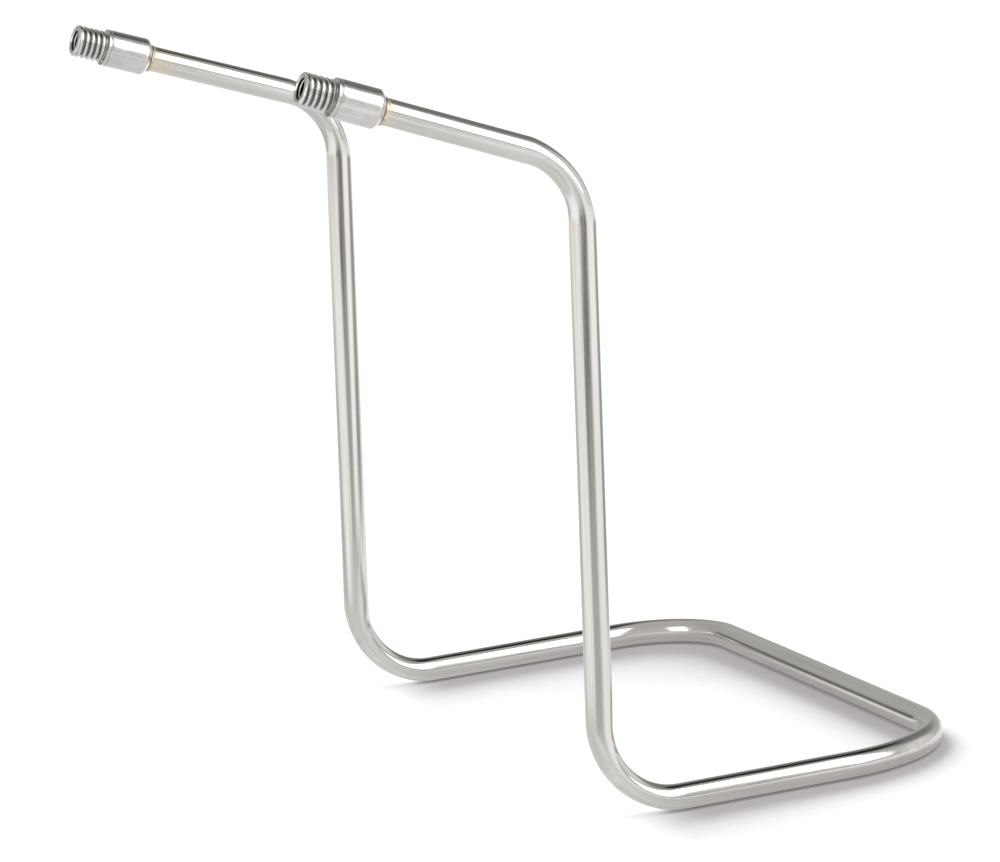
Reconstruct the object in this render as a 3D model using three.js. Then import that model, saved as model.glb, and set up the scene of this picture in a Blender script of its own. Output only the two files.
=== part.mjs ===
// Free-standing loop stand bent from one length of stainless tube, with a threaded hollow
// fitting brazed on each end. Millimetres, +Z up. The arms point to -X and the base runs to +X.
// Left is +Y and right is -Y, for someone who stands in front and faces the mouths.
import * as THREE from 'three';

// Tube
const TUBE_OD = 8;
const TUBE_WALL = 2;
const BEND_RADIUS = 24;          // to the tube's centre, three times the outside diameter
const LEFT_BACK_RADIUS = 30;     // the two wider bends at the back of the base
const RIGHT_BACK_RADIUS = 40;
const BEND_FLATTENING = 0.12;    // how much thinner the section is at the middle of a bend
const BEND_STEPS = 8;
const TUBE_SIDES = 20;

// Loop, between centrelines
const LOOP_WIDTH = 224;
const BASE_DEPTH = 118.5;
const UPRIGHT_HEIGHT = 188.5;
const UPRIGHT_LEAN = 13.5;       // the tops stand this far behind the feet

// Arms, from the top corner to the fitting's mouth. Bent by hand, so the two differ a little.
const LEFT_ARM = { length: 89.7, riseDeg: 20.6 };
const RIGHT_ARM = { length: 87.6, riseDeg: 22.2 };

// Threaded fitting, measured from its mouth along its axis
const FITTING_SIDES = 24;
const BORE_RADIUS = 3.1;
const BORE_CHAMFER = 0.3;
const FACE_RADIUS = 4.2;
const NOSE_LENGTH = 0.6;         // chamfer from the mouth's face out to the thread
const THREAD_RADIUS = 5;
const THREAD_PITCH = 1.8;
const THREAD_DEPTH = 0.95;
const THREAD_FADE = 0.6;
const THREAD_LENGTH = 9.4;
const THREAD_OFFSET = 1.65;      // first root on the side where the angle is zero
const ROOT_SHARE = 0.2;
const FLANK_SHARE = 0.55;
const ROWS_PER_TURN = 6;
const UNDERCUT_RADIUS = 4.2;
const LIP_START = 10;
const LIP_RADIUS = 5.8;
const LIP_LENGTH = 0.9;
const LIP_EDGE = 0.2;
const GROOVE_RADIUS = 5.45;
const GROOVE_LENGTH = 0.3;
const BODY_RADIUS = 5.85;
const REAR_CHAMFER = 1.7;
const REAR_RADIUS = 4.5;
const FITTING_LENGTH = 25;
const SOCKET_DEPTH = 11;
const LEFT_TURN_DEG = 140;       // each fitting stopped at its own angle when it was joined

// Joint between fitting and tube
const CLEARANCE = 0.35;
const BRAZE_RADIUS = 5;
const BRAZE_TOE_RADIUS = 4.65;
const BRAZE_LENGTH = 1.2;

const TUBE_RADIUS = TUBE_OD / 2;
const HALF_TURN = Math.PI;
const SECTION_RADIUS = TUBE_RADIUS / Math.cos(HALF_TURN / TUBE_SIDES);   // flats at the true radius
const FRONT = -1;

function vector(x, y, z) {
  return new THREE.Vector3(x, y, z);
}

// Corners of the loop's centreline. side is +1 on the left and -1 on the right.
function topCorner(side) {
  return vector(UPRIGHT_LEAN, side * LOOP_WIDTH / 2, TUBE_RADIUS + UPRIGHT_HEIGHT);
}

function armOn(side) {
  return side > 0 ? LEFT_ARM : RIGHT_ARM;
}

function armDirection(side) {
  const rise = THREE.MathUtils.degToRad(armOn(side).riseDeg);
  return vector(FRONT * Math.cos(rise), 0, Math.sin(rise));
}

function mouthCentre(side) {
  return topCorner(side).addScaledVector(armDirection(side), armOn(side).length);
}

function tubeEnd(side) {
  const inset = FITTING_LENGTH - SOCKET_DEPTH + CLEARANCE;
  return mouthCentre(side).addScaledVector(armDirection(side), -inset);
}

function footCorner(side) {
  return vector(0, side * LOOP_WIDTH / 2, TUBE_RADIUS);
}

function backCorner(side) {
  return vector(BASE_DEPTH, side * LOOP_WIDTH / 2, TUBE_RADIUS);
}

// The loop's corners in order from the right arm to the left one, each with its bend radius.
function loopCorners() {
  return [
    [topCorner(-1), BEND_RADIUS], [footCorner(-1), BEND_RADIUS], [backCorner(-1), RIGHT_BACK_RADIUS],
    [backCorner(1), LEFT_BACK_RADIUS], [footCorner(1), BEND_RADIUS], [topCorner(1), BEND_RADIUS],
  ];
}

// One station of the sweep: centre, direction of travel, the direction towards the bend's
// centre and the share by which the section is pressed flat in that direction.
function station(centre, travel, inward, flatten) {
  return { centre, travel, inward, flatten };
}

function bendStations(before, corner, after, radius) {
  const arriving = corner.clone().sub(before).normalize();
  const leaving = after.clone().sub(corner).normalize();
  const turn = arriving.angleTo(leaving);
  const setback = radius * Math.tan(turn / 2);
  const inward = leaving.clone().sub(arriving).normalize();
  const centre = corner.clone().addScaledVector(inward, radius / Math.cos(turn / 2));
  const spoke = corner.clone().addScaledVector(arriving, -setback).sub(centre);
  const axis = arriving.clone().cross(leaving).normalize();
  const stations = [];
  for (let i = 0; i <= BEND_STEPS; i += 1) {
    const share = i / BEND_STEPS;
    const arm = spoke.clone().applyAxisAngle(axis, turn * share);
    const travel = arriving.clone().applyAxisAngle(axis, turn * share);
    const flatten = BEND_FLATTENING * Math.sqrt(Math.sin(HALF_TURN * share));
    stations.push(station(centre.clone().add(arm), travel, arm.clone().negate().normalize(), flatten));
  }
  return stations;
}

function loopStations() {
  const corners = loopCorners();
  const stops = [tubeEnd(-1), ...corners.map(([corner]) => corner), tubeEnd(1)];
  const stations = [station(stops[0], armDirection(-1).negate(), vector(0, 0, 0), 0)];
  corners.forEach(([corner, radius], i) => {
    stations.push(...bendStations(stops[i], corner, stops[i + 2], radius));
  });
  stations.push(station(stops.at(-1), armDirection(1), vector(0, 0, 0), 0));
  return stations;
}

// Carries one sideways direction along the sweep without letting it twist.
function carrySideways(stations) {
  let sideways = vector(0, 1, 0);
  let previous = stations[0].travel;
  return stations.map(({ travel }) => {
    const swing = new THREE.Quaternion().setFromUnitVectors(previous, travel);
    sideways = sideways.clone().applyQuaternion(swing);
    previous = travel;
    return sideways;
  });
}

function sectionRing(stop, sideways, radius) {
  const upward = stop.travel.clone().cross(sideways);
  const ring = [];
  for (let k = 0; k < TUBE_SIDES; k += 1) {
    const angle = 2 * HALF_TURN * (k + 0.5) / TUBE_SIDES;
    const spoke = sideways.clone().multiplyScalar(radius * Math.cos(angle))
      .addScaledVector(upward, radius * Math.sin(angle));
    spoke.addScaledVector(stop.inward, -stop.flatten * spoke.dot(stop.inward));
    ring.push(stop.centre.clone().add(spoke));
  }
  return ring;
}

// Closed skin through a list of rings whose last ring joins the first.
function closedSkin(rings) {
  const sides = rings[0].length;
  const positions = rings.flat().flatMap((p) => [p.x, p.y, p.z]);
  const index = [];
  rings.forEach((_, row) => {
    const next = (row + 1) % rings.length;
    for (let k = 0; k < sides; k += 1) {
      const a = row * sides + k;
      const b = row * sides + (k + 1) % sides;
      const c = next * sides + (k + 1) % sides;
      const d = next * sides + k;
      index.push(a, b, c, a, c, d);
    }
  });
  const geometry = new THREE.BufferGeometry();
  geometry.setAttribute('position', new THREE.Float32BufferAttribute(positions, 3));
  geometry.setIndex(index);
  return geometry;
}

function facingOut(geometry) {
  const flat = geometry.toNonIndexed();
  const p = flat.attributes.position;
  let volume = 0;
  for (let i = 0; i < p.count; i += 3) {
    const a = vector().fromBufferAttribute(p, i);
    const b = vector().fromBufferAttribute(p, i + 1);
    const c = vector().fromBufferAttribute(p, i + 2);
    volume += a.dot(b.cross(c));
  }
  if (volume < 0) {
    const index = geometry.index.array;
    for (let i = 0; i < index.length; i += 3) [index[i], index[i + 1]] = [index[i + 1], index[i]];
  }
  geometry.computeVertexNormals();
  return geometry;
}

function loopTube() {
  const stations = loopStations();
  const sideways = carrySideways(stations);
  const outer = stations.map((stop, i) => sectionRing(stop, sideways[i], SECTION_RADIUS));
  const inner = stations.map((stop, i) => sectionRing(stop, sideways[i], TUBE_RADIUS - TUBE_WALL));
  return facingOut(closedSkin([...outer, ...inner.reverse()]));
}

// Ring about the fitting's own axis, which runs along +Z from the mouth to the rear.
function turnedRing(height, reach) {
  const ring = [];
  for (let k = 0; k < FITTING_SIDES; k += 1) {
    const angle = 2 * HALF_TURN * k / FITTING_SIDES;
    const radius = reach(angle);
    ring.push(vector(radius * Math.cos(angle), radius * Math.sin(angle), height));
  }
  return ring;
}

function roundRings(profile) {
  return profile.map(([height, radius]) => turnedRing(height, () => radius));
}

// Right-hand thread. Its root sinks in behind the chamfered nose.
function threadReach(height) {
  const nose = FACE_RADIUS + (THREAD_RADIUS - FACE_RADIUS) * Math.min(1, height / NOSE_LENGTH);
  const depth = THREAD_DEPTH * THREE.MathUtils.clamp((height - NOSE_LENGTH) / THREAD_FADE, 0, 1);
  return (angle) => {
    const turns = (height - THREAD_OFFSET) / THREAD_PITCH - angle / (2 * HALF_TURN);
    const awayFromRoot = 2 * Math.abs(turns - Math.round(turns));
    const rise = THREE.MathUtils.clamp((awayFromRoot - ROOT_SHARE) / FLANK_SHARE, 0, 1);
    return Math.min(nose, THREAD_RADIUS - depth * (1 - rise));
  };
}

function threadRings() {
  const rows = Math.floor(THREAD_LENGTH / THREAD_PITCH * ROWS_PER_TURN);
  const rings = [];
  for (let i = 1; i < rows; i += 1) {
    const height = THREAD_LENGTH * i / rows;
    rings.push(turnedRing(height, threadReach(height)));
  }
  return rings;
}

function bodyProfile() {
  const lipEnd = LIP_START + LIP_LENGTH;
  const grooveEnd = lipEnd + GROOVE_LENGTH;
  return [
    [THREAD_LENGTH, UNDERCUT_RADIUS], [LIP_START, UNDERCUT_RADIUS],
    [LIP_START, LIP_RADIUS - LIP_EDGE], [LIP_START + LIP_EDGE, LIP_RADIUS],
    [lipEnd - LIP_EDGE, LIP_RADIUS], [lipEnd, GROOVE_RADIUS],
    [grooveEnd, GROOVE_RADIUS], [grooveEnd + LIP_EDGE, BODY_RADIUS],
    [FITTING_LENGTH - REAR_CHAMFER, BODY_RADIUS], [FITTING_LENGTH, REAR_RADIUS],
  ];
}

function boreProfile() {
  const socketRadius = TUBE_RADIUS + CLEARANCE;
  const socketFloor = FITTING_LENGTH - SOCKET_DEPTH;
  return [
    [FITTING_LENGTH, socketRadius], [socketFloor, socketRadius], [socketFloor, BORE_RADIUS],
    [BORE_CHAMFER, BORE_RADIUS], [0, BORE_RADIUS + BORE_CHAMFER],
  ];
}

function threadedFitting() {
  return facingOut(closedSkin([
    ...roundRings([[0, FACE_RADIUS]]), ...threadRings(),
    ...roundRings(bodyProfile()), ...roundRings(boreProfile()),
  ]));
}

// Filler metal around the tube, thick against the fitting and thin at its toe.
function brazeRing() {
  const start = FITTING_LENGTH + CLEARANCE;
  const inner = TUBE_RADIUS + CLEARANCE;
  return facingOut(closedSkin(roundRings([
    [start, inner], [start, BRAZE_RADIUS],
    [start + BRAZE_LENGTH, BRAZE_TOE_RADIUS], [start + BRAZE_LENGTH, inner],
  ])));
}

// Stands a piece made on +Z on an arm, with its origin at the mouth and +Z towards the corner.
function placeOnArm(geometry, side) {
  const rearward = armDirection(side).negate();
  const across = vector(0, 1, 0);
  const turn = side > 0 ? THREE.MathUtils.degToRad(LEFT_TURN_DEG) : 0;
  const basis = new THREE.Matrix4().makeBasis(across.clone().cross(rearward), across, rearward);
  return geometry.rotateZ(turn).applyMatrix4(basis.setPosition(mouthCentre(side)));
}

function piece(name, geometry, color, roughness) {
  const material = new THREE.MeshStandardMaterial({ name, color, roughness, metalness: 1 });
  const mesh = new THREE.Mesh(geometry, material);
  mesh.name = name;
  return mesh;
}

// Moves the stand so that the origin is under the middle of its outer box.
function centreOnFloor(stand) {
  const box = new THREE.Box3().setFromObject(stand);
  const middle = box.getCenter(vector());
  stand.children.forEach((mesh) => mesh.geometry.translate(-middle.x, -middle.y, -box.min.z));
  return stand;
}

function loopStand() {
  const stand = new THREE.Group();
  stand.name = 'loop_stand';
  stand.add(piece('loop_tube', loopTube(), '#b9b5b2', 0.3));
  for (const [label, side] of [['left', 1], ['right', -1]]) {
    stand.add(piece(`${label}_fitting`, placeOnArm(threadedFitting(), side), '#c4c1be', 0.25));
    stand.add(piece(`${label}_braze_ring`, placeOnArm(brazeRing(), side), '#b9a67e', 0.4));
  }
  return centreOnFloor(stand);
}

export default loopStand();
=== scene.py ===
import math

import bpy
import numpy as np
from mathutils import Matrix, Vector


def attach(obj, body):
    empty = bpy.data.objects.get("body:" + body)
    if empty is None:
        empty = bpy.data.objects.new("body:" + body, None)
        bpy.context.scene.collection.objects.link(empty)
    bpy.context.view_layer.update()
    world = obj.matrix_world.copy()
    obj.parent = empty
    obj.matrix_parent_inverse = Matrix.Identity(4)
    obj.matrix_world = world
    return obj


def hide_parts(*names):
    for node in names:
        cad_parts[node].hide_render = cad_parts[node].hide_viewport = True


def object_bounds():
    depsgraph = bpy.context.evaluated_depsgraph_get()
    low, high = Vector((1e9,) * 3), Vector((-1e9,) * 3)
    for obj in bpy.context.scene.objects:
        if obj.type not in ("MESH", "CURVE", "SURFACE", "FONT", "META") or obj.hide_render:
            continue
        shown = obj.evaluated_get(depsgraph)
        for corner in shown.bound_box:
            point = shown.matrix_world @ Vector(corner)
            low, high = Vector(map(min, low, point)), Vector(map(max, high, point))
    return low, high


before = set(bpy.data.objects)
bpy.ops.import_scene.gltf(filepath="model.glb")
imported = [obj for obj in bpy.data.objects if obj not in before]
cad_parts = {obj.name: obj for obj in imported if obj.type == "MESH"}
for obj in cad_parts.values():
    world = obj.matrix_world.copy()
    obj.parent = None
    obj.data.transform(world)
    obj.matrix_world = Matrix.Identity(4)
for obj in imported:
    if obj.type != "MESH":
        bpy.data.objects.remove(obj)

CAD_BOX = [list(map(float, corner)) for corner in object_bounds()]

# Sizes of the part in metres, as in the CAD source. A side is +1 for left and -1 for right.
TUBE_RADIUS = 0.004
TUBE_BORE_RADIUS = 0.002
BEND_RADIUS = 0.024
BACK_RADIUS = {1: 0.030, -1: 0.040}
BEND_FLATTENING = 0.12                    # how much thinner the section is at the middle of a bend
LOOP_WIDTH = 0.224
BASE_DEPTH = 0.1185
UPRIGHT_HEIGHT = 0.1885
UPRIGHT_LEAN = 0.0135
ARM_LENGTH = {1: 0.0897, -1: 0.0876}
ARM_RISE = {1: math.radians(20.6), -1: math.radians(22.2)}
FITTING_LENGTH = 0.025
FITTING_TURN = {1: math.radians(140), -1: 0.0}
SOCKET_DEPTH = 0.011
BORE_RADIUS = 0.0031
FACE_RADIUS = 0.0042
NOSE_LENGTH = 0.0006                      # rounded start of the thread, behind the mouth's face
THREAD_RADIUS = 0.005
THREAD_PITCH = 0.0018
THREAD_DEPTH = 0.00095
THREAD_LENGTH = 0.0094
THREAD_OFFSET = 0.00165
LIP_RADIUS = 0.0058
BODY_RADIUS = 0.00585
CLEARANCE = 0.00035

# The finer shape, which the CAD has in fewer and plainer rows. Lengths are in metres.
TUBE_SIDES = 64
FITTING_SIDES = 144
BEAD_SIDES = 96
THREAD_ROWS = 150
ROOT_SHARE = 0.12                         # shares of half a pitch taken by the root and the flank
FLANK_SHARE = 0.62
LIP_START = 0.00995
LIP_END = 0.01075
GROOVE_RADIUS = 0.0054
GROOVE_SLOPE = 0.00015
BODY_START = 0.0113
CHAMFER_START = 0.0233
REAR_RADIUS = 0.00435
SOCKET_RADIUS = 0.00405
UNDERCUT_LIMIT = 0.0046                   # anything narrower before the lip is the undercut
MOUTH_RADIUS = 0.00365
MOUTH_CHAMFER = 0.0005
RIDGE_RADIUS = 0.00286
RIDGE_DEPTHS = (0.0030, 0.00135)          # turning ridges in the bore, from the mouth
RIDGE_TOP, RIDGE_FOOT = 0.0001, 0.00035   # half lengths of a ridge
PLAIN_BORE_START = 0.005
OUTER_EASE, BORE_EASE, BEAD_EASE = 0.00012, 0.00006, 0.0003
ROW_STEP = 0.0009
# A bead's outline as (distance past the fitting's rear, radius).
BEAD_OUTLINE = ((-0.0002, 0.0039), (-0.00015, 0.0042), (0.00015, 0.0043), (0.0006, 0.0042),
                (0.0011, 0.00406), (0.0015, 0.00396), (0.0014, 0.0039))

BACK_X = CAD_BOX[1][0] - TUBE_RADIUS      # centre of the base's back run
FRONT_X = BACK_X - BASE_DEPTH             # foot corners of the uprights


# ---------------------------------------------------------------- loop path

def unit(v):
    v = np.asarray(v, float)
    return v / np.linalg.norm(v)


def arm_direction(side):
    return np.array([-math.cos(ARM_RISE[side]), 0.0, math.sin(ARM_RISE[side])])


def top_corner(side):
    return np.array([FRONT_X + UPRIGHT_LEAN, side * LOOP_WIDTH / 2, TUBE_RADIUS + UPRIGHT_HEIGHT])


def mouth_centre(side):
    return top_corner(side) + arm_direction(side) * ARM_LENGTH[side]


def tube_end(side):
    return mouth_centre(side) - arm_direction(side) * (FITTING_LENGTH - SOCKET_DEPTH + CLEARANCE)


def floor_corner(x, side):
    return np.array([x, side * LOOP_WIDTH / 2, TUBE_RADIUS])


def loop_corners():
    """Corners from the right arm's top to the left one's, each with its bend radius."""
    return [(top_corner(-1), BEND_RADIUS), (floor_corner(FRONT_X, -1), BEND_RADIUS),
            (floor_corner(BACK_X, -1), BACK_RADIUS[-1]), (floor_corner(BACK_X, 1), BACK_RADIUS[1]),
            (floor_corner(FRONT_X, 1), BEND_RADIUS), (top_corner(1), BEND_RADIUS)]


def turn_about(v, axis, angle):
    cosine = math.cos(angle)
    return v * cosine + np.cross(axis, v) * math.sin(angle) + axis * axis.dot(v) * (1 - cosine)


def bend(before, corner, after, radius, steps):
    """Stations round one corner: place, travel, the way to the bend's centre, and the flattening."""
    arriving, leaving = unit(corner - before), unit(after - corner)
    turn = math.acos(float(np.clip(arriving.dot(leaving), -1, 1)))
    inward = unit(leaving - arriving)
    centre = corner + inward * radius / math.cos(turn / 2)
    spoke = corner - arriving * radius * math.tan(turn / 2) - centre
    axis = unit(np.cross(arriving, leaving))
    out = []
    for i in range(steps + 1):
        share = i / steps
        arm = turn_about(spoke, axis, turn * share)
        press = BEND_FLATTENING * (1 - (2 * share - 1) ** 4) ** 2
        out.append((centre + arm, turn_about(arriving, axis, turn * share), -unit(arm), press))
    return out


def loop_stations(bend_steps=40, straight_step=0.004):
    """Stations along the whole tube, from its right end to its left one."""
    corners = loop_corners()
    stops = [tube_end(-1)] + [corner for corner, _ in corners] + [tube_end(1)]
    marks = [(stops[0], -arm_direction(-1), np.zeros(3), 0.0)]
    for i, (corner, radius) in enumerate(corners):
        marks += bend(stops[i], corner, stops[i + 2], radius, bend_steps)
    marks.append((stops[-1], arm_direction(1), np.zeros(3), 0.0))
    out = [marks[0]]
    for a, b in zip(marks, marks[1:]):
        pieces = max(1, int(np.linalg.norm(b[0] - a[0]) / straight_step))
        for j in range(1, pieces):
            t = j / pieces
            out.append((a[0] * (1 - t) + b[0] * t, a[1], a[2], 0.0))
        out.append(b)
    return out


def carried_sideways(stations):
    """A sideways direction for each station, carried along without twist."""
    side = np.array([0.0, 1.0, 0.0])
    out = []
    for _, travel, _, _ in stations:
        side = unit(side - travel * side.dot(travel))
        out.append(side)
    return out


# ---------------------------------------------------------------- meshes

def closed_skin(name, rings, lengths, extra=None):
    """Joins rings of points into one closed tube-like skin. lengths run along the skin, and the map
    laid on it is in metres: along the skin, and round it."""
    rings = np.asarray(rings, float)
    rows, sides = rings.shape[:2]
    verts = rings.reshape(-1, 3)
    faces = []
    for r in range(rows):
        n = (r + 1) % rows
        for k in range(sides):
            m = (k + 1) % sides
            faces.append((r * sides + k, r * sides + m, n * sides + m, n * sides + k))
    mesh = bpy.data.meshes.new(name)
    mesh.from_pydata(verts.tolist(), [], faces)
    mesh.update()
    lay = mesh.uv_layers.new(name="lay")
    round_step = 2 * math.pi * TUBE_RADIUS / sides
    lengths = list(lengths) + [lengths[-1]]
    coords = np.empty((rows * sides * 4, 2))
    i = 0
    for r in range(rows):
        for k in range(sides):
            u0, u1, v0, v1 = lengths[r], lengths[r + 1], k * round_step, (k + 1) * round_step
            coords[i:i + 4] = ((u0, v0), (u0, v1), (u1, v1), (u1, v0))
            i += 4
    lay.data.foreach_set("uv", coords.ravel())
    for key, values in (extra or {}).items():
        layer = mesh.attributes.new(key, "FLOAT", "POINT")
        values = np.asarray(values, float)
        layer.data.foreach_set("value", values.ravel() if values.ndim == 2 else np.repeat(values, sides))
    if signed_volume(mesh) < 0:
        mesh.flip_normals()
    mesh.shade_smooth()
    piece = bpy.data.objects.new(name, mesh)
    bpy.context.scene.collection.objects.link(piece)
    return piece


def signed_volume(mesh):
    """Six times the volume, and negative when the faces point in."""
    co = np.empty(len(mesh.vertices) * 3)
    mesh.vertices.foreach_get("co", co)
    co = co.reshape(-1, 3)
    mesh.calc_loop_triangles()
    tri = np.empty(len(mesh.loop_triangles) * 3, int)
    mesh.loop_triangles.foreach_get("vertices", tri)
    a, b, c = (co[tri.reshape(-1, 3)[:, i]] for i in range(3))
    return float((a * np.cross(b, c)).sum())


def angles_round(sides):
    return 2 * math.pi * np.arange(sides) / sides


def make_tube():
    """The bent tube, with its distance from each fitting and its stretched bend backs marked."""
    stations = loop_stations()
    angles = angles_round(TUBE_SIDES)
    outer, inner, along, worked = [], [], [0.0], []
    for i, (station, side) in enumerate(zip(stations, carried_sideways(stations))):
        centre, travel, inward, press = station
        up = np.cross(travel, side)
        spokes = np.cos(angles)[:, None] * side + np.sin(angles)[:, None] * up
        worked.append(np.clip(-(spokes @ inward), 0, 1) * press / BEND_FLATTENING)
        spokes = spokes - press * (spokes @ inward)[:, None] * inward
        outer.append(centre + spokes * TUBE_RADIUS)
        inner.append(centre + spokes * TUBE_BORE_RADIUS)
        if i:
            along.append(along[-1] + float(np.linalg.norm(centre - stations[i - 1][0])))
    lengths = along + along[::-1]
    inside = SOCKET_DEPTH - CLEARANCE
    from_right = [max(0.0, s - inside) for s in lengths]
    from_left = [max(0.0, along[-1] - inside - s) for s in lengths]
    return closed_skin("tube_bent", outer + inner[::-1], lengths,
                       {"from_right": from_right, "from_left": from_left,
                        "stretched": worked + worked[::-1]})


def rounded(profile, radius, steps=4):
    """Eases each inner corner of a (height, radius) profile with a short curve."""
    pts = [np.array(p, float) for p in profile]
    out = [pts[0]]
    for a, b, c in zip(pts, pts[1:], pts[2:]):
        ease = min(radius, np.linalg.norm(b - a) * 0.45, np.linalg.norm(c - b) * 0.45)
        start, end = b + unit(a - b) * ease, b + unit(c - b) * ease
        for i in range(steps + 1):
            t = i / steps
            out.append(start * (1 - t) ** 2 + 2 * b * t * (1 - t) + end * t ** 2)
    out.append(pts[-1])
    return out


def fine_rows(profile, step):
    """Splits long stretches of a profile into rows at most about one step apart."""
    out = [profile[0]]
    for a, b in zip(profile, profile[1:]):
        n = max(1, int(np.linalg.norm(b - a) / step))
        out += [a + (b - a) * j / n for j in range(1, n + 1)]
    return out


def smooth_step(x):
    x = np.clip(x, 0, 1)
    return x * x * (3 - 2 * x)


def ring_of_points(angles, reach, height):
    """Points round +Z. reach and height are numbers, or a value for each angle."""
    x, y, z = np.broadcast_arrays(reach * np.cos(angles), reach * np.sin(angles), height)
    return np.stack([x, y, z], 1)


def thread_ring(height, angles):
    """Radius of the thread round one height: a helix that fades in behind the nose and out again."""
    swell = math.sin(min(1, height / NOSE_LENGTH) * math.pi / 2)
    nose = FACE_RADIUS + (THREAD_RADIUS - FACE_RADIUS) * swell
    fade_in = float(smooth_step((height - 0.0005) / 0.0007))
    fade_out = float(smooth_step((THREAD_LENGTH - height) / 0.0005))
    turns = (height - THREAD_OFFSET) / THREAD_PITCH - angles / (2 * math.pi)
    away = 2 * np.abs(turns - np.round(turns))
    rise = smooth_step((away - ROOT_SHARE) / FLANK_SHARE)
    radius = THREAD_RADIUS - THREAD_DEPTH * fade_in * (1 - rise)
    radius = radius * fade_out + FACE_RADIUS * (1 - fade_out)
    return np.minimum(nose, radius)


def thread_rows(angles):
    """Rows of (height, radii, valley, inside) over the thread. A valley gets painted shade by its depth.
    """
    rows = []
    for height in np.linspace(0.0, THREAD_LENGTH, THREAD_ROWS):
        reach = thread_ring(height, angles)
        valley = np.clip((THREAD_RADIUS - reach) / THREAD_DEPTH, 0, 1)
        rows.append((height, reach, valley * smooth_step((height - NOSE_LENGTH) / NOSE_LENGTH), 0.0))
    return rows


def body_rows():
    """Rows over the undercut, the lip, the groove behind it and the round body with its chamfer."""
    outline = [(THREAD_LENGTH, FACE_RADIUS), (LIP_START, FACE_RADIUS), (LIP_START, LIP_RADIUS),
               (LIP_END, LIP_RADIUS), (LIP_END + GROOVE_SLOPE, GROOVE_RADIUS),
               (BODY_START - GROOVE_SLOPE, GROOVE_RADIUS), (BODY_START, BODY_RADIUS),
               (CHAMFER_START, BODY_RADIUS), (FITTING_LENGTH - 0.00005, REAR_RADIUS),
               (FITTING_LENGTH, SOCKET_RADIUS)]
    rows = []
    for height, radius in fine_rows(rounded(outline, OUTER_EASE), ROW_STEP)[1:]:
        # An undercut before the lip gets painted shade, as a thread valley does.
        undercut = radius < UNDERCUT_LIMIT and height < LIP_END
        rows.append((height, radius, 0.6 * undercut, 0.0))
    return rows


def bore_rows():
    """Rows from the rear rim back to the mouth: socket, plain bore, turning ridges and chamfer."""
    socket_end = FITTING_LENGTH - SOCKET_DEPTH
    outline = [(FITTING_LENGTH, SOCKET_RADIUS), (socket_end, SOCKET_RADIUS), (socket_end, BORE_RADIUS),
               (PLAIN_BORE_START, BORE_RADIUS)]
    for depth in RIDGE_DEPTHS:
        outline += [(depth + RIDGE_FOOT, BORE_RADIUS), (depth + RIDGE_TOP, RIDGE_RADIUS),
                    (depth - RIDGE_TOP, RIDGE_RADIUS), (depth - RIDGE_FOOT, BORE_RADIUS)]
    outline += [(MOUTH_CHAMFER, BORE_RADIUS), (0.0, MOUTH_RADIUS), (0.0, SOCKET_RADIUS)]
    rows = []
    for height, radius in rounded(outline, BORE_EASE, 3)[1:]:
        # The last column marks painted shade down the bore: full in the socket and the plain bore, faint
        # on the ridge tops, none at the mouth's face.
        crest = smooth_step((BORE_RADIUS - radius) / 0.00018)
        rows.append((height, radius, 0.0, float(smooth_step(height / 0.0002) * (1 - 0.9 * crest))))
    return rows


def make_fitting(name, side):
    """A threaded hollow fitting, turned in one piece, with its thread valleys and its bore marked for
    painted shade.
    """
    angles = angles_round(FITTING_SIDES)
    rings, valleys, insides, lengths = [], [], [], []
    last = None
    for height, reach, valley, inside in thread_rows(angles) + body_rows() + bore_rows():
        rings.append(ring_of_points(angles, reach, height))
        valleys.append(valley + np.zeros(len(angles)))
        insides.append(inside)
        here = np.array([height, float(np.mean(reach))])
        lengths.append(0.0 if last is None else lengths[-1] + float(np.linalg.norm(here - last)))
        last = here
    piece = closed_skin(name, rings, lengths, {"valley": valleys, "inside": insides})
    place_on_arm(piece, side)
    return piece


def place_on_arm(piece, side):
    """Moves a piece made along +Z from its mouth to the end of the arm."""
    rearward = -arm_direction(side)
    across = np.array([0.0, 1.0, 0.0])
    basis = Matrix.Identity(4)
    for col, axis in enumerate((np.cross(across, rearward), across, rearward)):
        for row in range(3):
            basis[row][col] = axis[row]
    basis.translation = Vector(mouth_centre(side))
    turn = Matrix.Rotation(FITTING_TURN[side], 4, "Z")
    piece.data.transform(basis @ turn)
    piece.data.update()


def make_braze(name, side):
    """A bead of filler between the fitting's rear and the tube, a little uneven round its edge."""
    rng = np.random.default_rng(7 if side > 0 else 11)
    angles = angles_round(BEAD_SIDES)
    waves = sum(rng.uniform(0.3, 1) * np.cos(n * angles + rng.uniform(0, 6.3)) for n in (2, 3, 5, 8)) / 2.4
    outline = [(FITTING_LENGTH + past, radius) for past, radius in BEAD_OUTLINE]
    rings, lengths, roots = [], [], []
    for height, radius in rounded(outline, BEAD_EASE):
        past = height - FITTING_LENGTH
        spread = waves * 0.00028 * smooth_step((past + 0.0001) / 0.0015)
        swell = waves * 0.00006 * (radius > TUBE_RADIUS)
        rings.append(ring_of_points(angles, radius + swell, height + spread))
        lengths.append(height)
        roots.append(1 - float(smooth_step(past / 0.0005)))
    piece = closed_skin(name, rings, lengths, {"root": roots})
    place_on_arm(piece, side)
    return piece


# ---------------------------------------------------------------- materials

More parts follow.
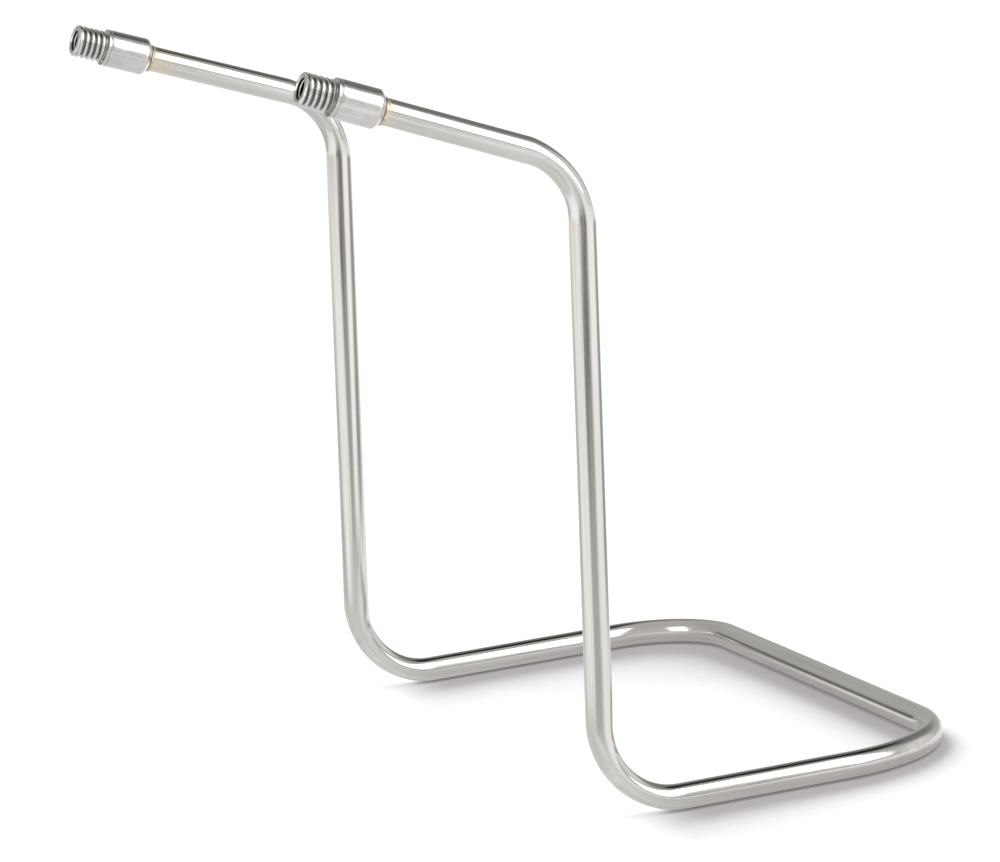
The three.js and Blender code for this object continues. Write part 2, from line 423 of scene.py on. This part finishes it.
class Nodes:
    """Short calls that add nodes to one tree."""

    def __init__(self, tree):
        self.tree = tree

    def add(self, kind, **settings):
        node = self.tree.nodes.new(kind)
        for key, value in settings.items():
            setattr(node, key, value)
        return node

    def link(self, a, b):
        self.tree.links.new(a, b)

    def attribute(self, name):
        return self.add("ShaderNodeAttribute", attribute_name=name).outputs["Fac"]

    def place(self):
        return self.add("ShaderNodeTexCoord").outputs["Object"]

    def stretched_noise(self, scale, detail=4.0, rough=0.55):
        """Noise on the laid map, stretched by a separate scale along and round the piece."""
        lay = self.add("ShaderNodeUVMap", uv_map="lay")
        grow = self.add("ShaderNodeVectorMath", operation="MULTIPLY")
        grow.inputs[1].default_value = (*scale, 1.0)
        noise = self.add("ShaderNodeTexNoise", noise_dimensions="2D")
        noise.inputs["Scale"].default_value = 1.0
        noise.inputs["Detail"].default_value = detail
        noise.inputs["Roughness"].default_value = rough
        self.link(lay.outputs["UV"], grow.inputs[0])
        self.link(grow.outputs[0], noise.inputs["Vector"])
        return noise.outputs["Fac"]

    def blotches(self, scale, detail=3.0):
        noise = self.add("ShaderNodeTexNoise")
        noise.inputs["Scale"].default_value = scale
        noise.inputs["Detail"].default_value = detail
        self.link(self.place(), noise.inputs["Vector"])
        return noise.outputs["Fac"]

    def ranged(self, value, lo, hi, to_lo, to_hi, smooth=False):
        """Maps lo..hi to to_lo..to_hi, and holds the ends."""
        node = self.add("ShaderNodeMapRange")
        node.interpolation_type = "SMOOTHSTEP" if smooth else "LINEAR"
        for key, v in (("From Min", lo), ("From Max", hi), ("To Min", to_lo), ("To Max", to_hi)):
            node.inputs[key].default_value = v
        self.link(value, node.inputs["Value"])
        return node.outputs["Result"]

    def math(self, operation, a, b):
        node = self.add("ShaderNodeMath", operation=operation)
        for socket, v in zip(node.inputs, (a, b)):
            if isinstance(v, (int, float)):
                socket.default_value = v
            else:
                self.link(v, socket)
        return node.outputs[0]

    def mixed(self, factor, a, b, blend="MIX"):
        """Blends colour a towards colour b. Each argument is a value, a colour or a socket."""
        node = self.add("ShaderNodeMix", data_type="RGBA", blend_type=blend)
        for key, v in ((0, factor), (6, a), (7, b)):
            if isinstance(v, (int, float)):
                node.inputs[key].default_value = v
            elif isinstance(v, tuple):
                node.inputs[key].default_value = (*v, 1.0)
            else:
                self.link(v, node.inputs[key])
        return node.outputs[2]

    def grey(self, value):
        node = self.add("ShaderNodeCombineColor")
        for socket in node.inputs:
            self.link(value, socket)
        return node.outputs[0]

    def bump(self, height, strength, distance, normal=None):
        node = self.add("ShaderNodeBump")
        node.inputs["Strength"].default_value = strength
        node.inputs["Distance"].default_value = distance
        self.link(height, node.inputs["Height"])
        if normal is not None:
            self.link(normal, node.inputs["Normal"])
        return node.outputs["Normal"]


class Surface(Nodes):
    """A new material, with its Principled shader to hand."""

    def __init__(self, name):
        self.material = bpy.data.materials.new(name)
        self.material.use_nodes = True
        super().__init__(self.material.node_tree)
        self.shader = self.tree.nodes["Principled BSDF"]

    def finish(self, color, roughness, normal):
        self.shader.inputs["Metallic"].default_value = 1.0
        self.link(color, self.shader.inputs["Base Color"])
        self.link(roughness, self.shader.inputs["Roughness"])
        self.link(normal, self.shader.inputs["Normal"])
        return self.material


STEEL = (0.72, 0.705, 0.685)
STEEL_DULL = (0.60, 0.585, 0.555)
STEEL_WORN = (0.50, 0.485, 0.455)
STEEL_CLEAN = (0.76, 0.75, 0.73)
TURNED_DULL = (0.64, 0.625, 0.61)
TURNED_BRIGHT = (0.74, 0.73, 0.715)
STRAW = (0.82, 0.70, 0.47)
# Near-black painted shade for the thread's root, the undercut and the bore.
PAINTED_HOLLOW_SHADE = (0.055, 0.048, 0.042)
FILLER = (0.52, 0.44, 0.31)
FILLER_PALE = (0.80, 0.73, 0.58)
FILLER_ROOT = (0.10, 0.065, 0.03)
# The heat tint at each joint: the attribute that measures from it, its reach in metres, its strength.
HEAT_TINTS = (("from_right", 0.0050, 0.50), ("from_left", 0.0125, 0.58))


def tube_steel():
    """Drawn and brushed tube: fine lines along it, cloudy patches, scuffs where it was bent, and a
    straw heat tint that fades away from each joint."""
    n = Surface("drawn_stainless_tube")
    streaks = n.stretched_noise((22.0, 2600.0), 5.0)
    wide = n.stretched_noise((9.0, 520.0), 3.0)
    patches = n.blotches(26.0, 4.0)
    mottle = n.blotches(420.0, 5.0)
    stretched = n.attribute("stretched")
    worn = n.ranged(stretched, 0.15, 0.9, 0.0, 1.0, True)
    scuff = n.math("MULTIPLY", worn, n.ranged(mottle, 0.42, 0.62, 0.0, 1.0))
    tone = n.mixed(n.ranged(wide, 0.3, 0.7, 0.0, 1.0), STEEL_DULL, STEEL)
    tone = n.mixed(n.ranged(patches, 0.35, 0.75, 0.0, 0.4), tone, STEEL_CLEAN)
    tone = n.mixed(n.ranged(streaks, 0.60, 0.72, 0.0, 0.45), tone, STEEL_WORN)
    color = n.mixed(n.math("MULTIPLY", scuff, 0.35), tone, STEEL_WORN)
    for key, reach, most in HEAT_TINTS:
        ragged = n.math("ADD", n.attribute(key), n.ranged(patches, 0.3, 0.7, -0.0012, 0.0012))
        color = n.mixed(n.ranged(ragged, 0.0008, reach, most, 0.0, True), color, STRAW)
    lined = n.ranged(streaks, 0.3, 0.7, 0.09, 0.17)
    rough = n.math("ADD", lined, n.ranged(patches, 0.4, 0.8, 0.0, 0.05))
    rough = n.math("ADD", rough, n.math("MULTIPLY", scuff, 0.12))
    normal = n.bump(streaks, 0.25, 0.00002)
    normal = n.bump(wide, 0.2, 0.00004, normal)
    normal = n.bump(n.math("MULTIPLY", mottle, stretched), 0.5, 0.00006, normal)
    return n.finish(color, rough, normal)


def turned_steel():
    """Bright turned steel, with painted shade in the thread's root, the undercut and down the bore."""
    n = Surface("turned_stainless_fitting")
    rings = n.stretched_noise((5200.0, 60.0), 4.0)
    patches = n.blotches(160.0, 3.0)
    valley = n.ranged(n.attribute("valley"), 0.35, 0.95, 0.0, 0.74, True)
    # Painted shade down the bore, from its inside mark.
    inside = n.ranged(n.attribute("inside"), 0.2, 1.0, 0.0, 0.96, True)
    color = n.mixed(n.ranged(patches, 0.35, 0.7, 0.0, 1.0), TURNED_DULL, TURNED_BRIGHT)
    # Painted shade in the thread's root and the undercut, darker where they are deeper; it also makes them
    # rougher.
    painted_root_shade = n.math("MULTIPLY", valley, n.ranged(patches, 0.2, 0.6, 0.85, 1.0))
    color = n.mixed(inside, n.mixed(painted_root_shade, color, PAINTED_HOLLOW_SHADE), PAINTED_HOLLOW_SHADE)
    lined = n.ranged(rings, 0.3, 0.7, 0.14, 0.24)
    rough = n.math("ADD", lined, n.ranged(patches, 0.4, 0.8, 0.0, 0.06))
    rough = n.math("ADD", rough, n.math("MULTIPLY", painted_root_shade, 0.18))
    return n.finish(color, rough, n.bump(rings, 0.3, 0.00002))


def braze_metal():
    """Straw-coloured filler, patchy and a little rough, dark brown where it meets the fitting's rear."""
    n = Surface("straw_braze_filler")
    patches = n.blotches(700.0, 4.0)
    fine = n.blotches(2600.0, 3.0)
    color = n.mixed(n.ranged(patches, 0.35, 0.7, 0.0, 1.0), FILLER, FILLER_PALE)
    color = n.mixed(n.ranged(n.attribute("root"), 0.25, 0.9, 0.0, 0.92, True), color, FILLER_ROOT)
    return n.finish(color, n.ranged(fine, 0.3, 0.7, 0.26, 0.46), n.bump(patches, 0.6, 0.0001))


# ---------------------------------------------------------------- pieces

def dress(piece, material, node):
    piece.data.materials.append(material)
    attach(piece, "root")
    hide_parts(node)


dress(make_tube(), tube_steel(), "loop_tube")
turned, filler = turned_steel(), braze_metal()
for label, side in (("left", 1), ("right", -1)):
    dress(make_fitting(f"{label}_fitting_turned", side), turned, f"{label}_fitting")
    dress(make_braze(f"{label}_braze_bead", side), filler, f"{label}_braze_ring")


# ---------------------------------------------------------------- floor, light and camera

FLOOR_SHADE = (0.415, 0.393, 0.403)
FLOOR_PALE = (0.985, 0.985, 0.985)
FLOOR_GLOW = 0.88
SHADE_REACH = 0.072
SHADE_LEAN = (62, 30)                     # the way the painted shadow's occlusion looks, as azimuth and elevation in degrees
TOUCH_REACH = 0.0025
WORLD_LEVEL = 0.60
WORLD_TINT = (1.0, 0.985, 0.965, 1.0)
# Each patch: middle as azimuth and elevation, inner and outer radius, all in degrees, and its amount.
WORLD_PATCHES = (((42, 56), 10, 17, 0.03), ((44, 44), 18, 36, 0.45), ((90, 4), 35, 75, 0.84),
                 ((8, 50), 6, 22, 0.85), ((114, 3), 3, 10, 0.30), ((2, 10), 8, 28, 1.55))
RIGHT_FOOT = (FRONT_X, -LOOP_WIDTH / 2, 0.0)
LEFT_FOOT = (FRONT_X, LOOP_WIDTH / 2, 0.0)


def direction(azimuth, elevation):
    """The way to a point in the studio. Azimuth turns from +X towards +Y, and both are in degrees."""
    a, e = math.radians(azimuth), math.radians(elevation)
    return Vector((math.cos(a) * math.cos(e), math.sin(a) * math.cos(e), math.sin(e)))


def occlusion(n, distance, samples):
    node = n.add("ShaderNodeAmbientOcclusion", samples=samples)
    node.inputs["Distance"].default_value = distance
    return node


def floor_surface():
    """White and glowing, with a wide soft painted shadow on the side away from SHADE_LEAN, which points
    behind the stand. The shadow starts under the front bends, and a thin darker painted shadow lies right
    where the tube touches."""
    n = Surface("pale_floor")
    lean = n.add("ShaderNodeCombineXYZ")
    for socket, value in zip(lean.inputs, direction(*SHADE_LEAN)):
        socket.default_value = value
    wide = occlusion(n, SHADE_REACH, 24)
    n.link(lean.outputs[0], wide.inputs["Normal"])
    place = n.add("ShaderNodeSeparateXYZ")
    n.link(n.place(), place.inputs[0])
    ahead = n.ranged(place.outputs["X"], FRONT_X + 0.002, FRONT_X + 0.030, 1.0, 0.0, True)
    shade = n.math("MAXIMUM", n.ranged(wide.outputs["AO"], 0.71, 0.98, 0.0, 1.0, True), ahead)
    pale = n.mixed(n.ranged(n.blotches(9.0, 3.0), 0.3, 0.7, 0.0, 1.0), FLOOR_PALE, (1.0, 1.0, 1.0))
    crease = n.ranged(occlusion(n, TOUCH_REACH, 16).outputs["AO"], 0.10, 0.55, 0.55, 1.0)
    # The floor's colour, and so its glow, carries both painted shadows.
    color = n.mixed(1.0, n.mixed(shade, FLOOR_SHADE, pale), n.grey(crease), "MULTIPLY")
    n.link(n.mixed(1.0, color, (0.30, 0.30, 0.30), "MULTIPLY"), n.shader.inputs["Base Color"])
    n.link(color, n.shader.inputs["Emission Color"])
    n.shader.inputs["Emission Strength"].default_value = FLOOR_GLOW
    n.shader.inputs["Roughness"].default_value = 0.9
    n.shader.inputs["Specular IOR Level"].default_value = 0.1
    return n.material


def grid_faces(rows, columns):
    w = columns + 1
    return [(i * w + j, (i + 1) * w + j, (i + 1) * w + j + 1, i * w + j + 1)
            for i in range(rows) for j in range(columns)]


def make_floor(steps=24, reach=6.0):
    marks = [(i / steps * 2 - 1) * reach for i in range(steps + 1)]
    mesh = bpy.data.meshes.new("floor")
    mesh.from_pydata([(x, y, 0.0) for x in marks for y in marks], [], grid_faces(steps, steps))
    mesh.materials.append(floor_surface())
    floor = bpy.data.objects.new("floor", mesh)
    bpy.context.scene.collection.objects.link(floor)


def soft_emitter(name, verts, faces, cover, level):
    """A glowing sheet seen only in reflections, opaque and bright as each of its points says."""
    mesh = bpy.data.meshes.new(name)
    mesh.from_pydata(verts, [], faces)
    for key, values in (("cover", cover), ("level", level)):
        mesh.attributes.new(key, "FLOAT", "POINT").data.foreach_set("value", values)
    n = Surface(name)
    n.tree.nodes.remove(n.shader)
    glow = n.add("ShaderNodeEmission")
    n.link(n.attribute("level"), glow.inputs["Strength"])
    blend = n.add("ShaderNodeMixShader")
    n.link(n.attribute("cover"), blend.inputs[0])
    n.link(n.add("ShaderNodeBsdfTransparent").outputs[0], blend.inputs[1])
    n.link(glow.outputs[0], blend.inputs[2])
    n.link(blend.outputs[0], n.tree.nodes["Material Output"].inputs["Surface"])
    mesh.materials.append(n.material)
    sheet = bpy.data.objects.new(name, mesh)
    sheet.visible_camera = sheet.visible_diffuse = sheet.visible_shadow = False
    bpy.context.scene.collection.objects.link(sheet)


def fan_spot(apex, azimuth, spread, across, reach, z):
    """A point reach metres out of the apex. across runs from -1 to 1 over the fan's spread."""
    spot = Vector(apex) + direction(azimuth + across * spread, 0) * reach
    return spot.x, spot.y, z


def make_card(name, lift, apex, azimuth, near, far, spread, brightness):
    """A soft-edged card lying on the floor: a wedge from near to far metres out of the apex, spread
    degrees to each side of its azimuth."""
    rows, columns = 24, 16
    verts, cover = [], []
    for i in range(rows + 1):
        out = i / rows
        ends = smooth_step(out / 0.12) * smooth_step((1 - out) / 0.2)
        for j in range(columns + 1):
            across = j / columns * 2 - 1
            verts.append(fan_spot(apex, azimuth, spread, across, near + (far - near) * out, lift))
            cover.append(float(ends * smooth_step((1 - abs(across)) / 0.6)))
    soft_emitter(name, verts, grid_faces(rows, columns), cover, [brightness] * len(verts))


def make_louvre(name, apex, azimuth, near, far, spread, near_level, far_level):
    """Low grey strips standing in arcs round the apex. They fill every reflection that meets the floor
    at under eight degrees, and steeper ones mostly pass between them."""
    columns, growth, slope, lift = 20, 1.12, 0.14, 0.0005
    verts, faces, cover, level = [], [], [], []
    reach = near
    while reach < far:
        height = reach * (growth - 1) * slope
        share = float(smooth_step((reach - 0.60) / 0.80))
        ends = smooth_step((reach - near) / 0.06) * smooth_step((far - reach) / 0.3)
        first = len(verts)
        for z in (lift, lift + height):
            for j in range(columns + 1):
                across = j / columns * 2 - 1
                verts.append(fan_spot(apex, azimuth, spread, across, reach, z))
                cover.append(float(ends * smooth_step((1 - abs(across)) / 0.5)))
                level.append(near_level + (far_level - near_level) * share)
        faces += [tuple(first + k for k in face) for face in grid_faces(1, columns)]
        reach *= growth
    soft_emitter(name, verts, faces, cover, level)


def make_world():
    """A grey studio: a level, then soft round patches that scale it, each by its own amount."""
    world = bpy.data.worlds.new("studio")
    bpy.context.scene.world = world
    world.use_nodes = True
    n = Nodes(world.node_tree)
    where = n.add("ShaderNodeTexCoord").outputs["Generated"]
    strength = WORLD_LEVEL
    for (azimuth, elevation), inner, outer, amount in WORLD_PATCHES:
        dot = n.add("ShaderNodeVectorMath", operation="DOT_PRODUCT")
        dot.inputs[1].default_value = direction(azimuth, elevation)
        n.link(where, dot.inputs[0])
        edge, core = math.cos(math.radians(outer)), math.cos(math.radians(inner))
        patch = n.ranged(dot.outputs["Value"], edge, core, 1.0, amount, True)
        strength = n.math("MULTIPLY", strength, patch)
    back = n.tree.nodes["Background"]
    n.link(strength, back.inputs["Strength"])
    back.inputs["Color"].default_value = WORLD_TINT


def softbox(name, azimuth, distance, low, high, width, radiance, aim_height):
    """A standing soft light whose panel runs from low to high, facing the object."""
    middle = (low + high) / 2
    light = bpy.data.lights.new(name, "AREA")
    light.shape = "RECTANGLE"
    light.size, light.size_y = width, high - low
    light.energy = radiance * math.pi * light.size * light.size_y
    lamp = bpy.data.objects.new(name, light)
    lamp.location = direction(azimuth, 0) * distance + Vector((0, 0, middle))
    aim = Vector((0, 0, aim_height)) - lamp.location
    lamp.rotation_euler = aim.to_track_quat("-Z", "Y").to_euler()
    lamp.visible_camera = False
    bpy.context.scene.collection.objects.link(lamp)


def make_camera():
    """A long lens from the right front, a little above, held slightly rolled."""
    aim = Vector((-0.0229, -0.0489, 0.1081))
    distance, heading, pitch, roll = 1.8, 18.753, 9.951, 5.987
    lens, sensor = 217.82, 36.0
    forward = direction(90 - heading, -pitch)
    right = forward.cross(Vector((0, 0, 1))).normalized()
    up = right.cross(forward)
    turn = Matrix.Rotation(math.radians(roll), 3, forward)
    right, up = turn @ right, turn @ up
    data = bpy.data.cameras.new("camera")
    data.sensor_width = sensor
    data.lens = lens
    data.clip_start, data.clip_end = 0.05, 30.0
    camera = bpy.data.objects.new("camera", data)
    matrix = Matrix.Identity(4)
    for col, axis in enumerate((right, up, -forward)):
        for row in range(3):
            matrix[row][col] = axis[row]
    matrix.translation = aim - forward * distance
    camera.matrix_world = matrix
    bpy.context.scene.collection.objects.link(camera)
    bpy.context.scene.camera = camera


make_floor()
make_louvre("louvre_camera_side", RIGHT_FOOT, -104, 0.05, 2.2, 38, 0.47, 0.07)
make_card("card_left", 0.0004, RIGHT_FOOT, 180, 0.20, 3.2, 42, 1.24)
make_card("card_front_right", 0.0005, RIGHT_FOOT, -48, 0.10, 1.5, 26, 1.22)
make_card("card_right", 0.0006, RIGHT_FOOT, 15, 0.16, 1.5, 32, 0.42)
make_card("card_back_left", 0.0007, RIGHT_FOOT, 122, 0.20, 2.2, 30, 0.68)
for name, foot in (("card_under_right_arm", RIGHT_FOOT), ("card_under_left_arm", LEFT_FOOT)):
    make_card(name, 0.0008, foot, 180, 0.0, 0.30, 150, 0.80)
make_world()
softbox("right_softbox", -50, 1.0, 0.2, 1.7, 0.7, 2.4, 0.6)
softbox("left_softbox", -165, 1.6, 0.2, 1.2, 0.9, 1.6, 0.3)
make_camera()
bpy.context.scene.view_settings.view_transform = "Standard"
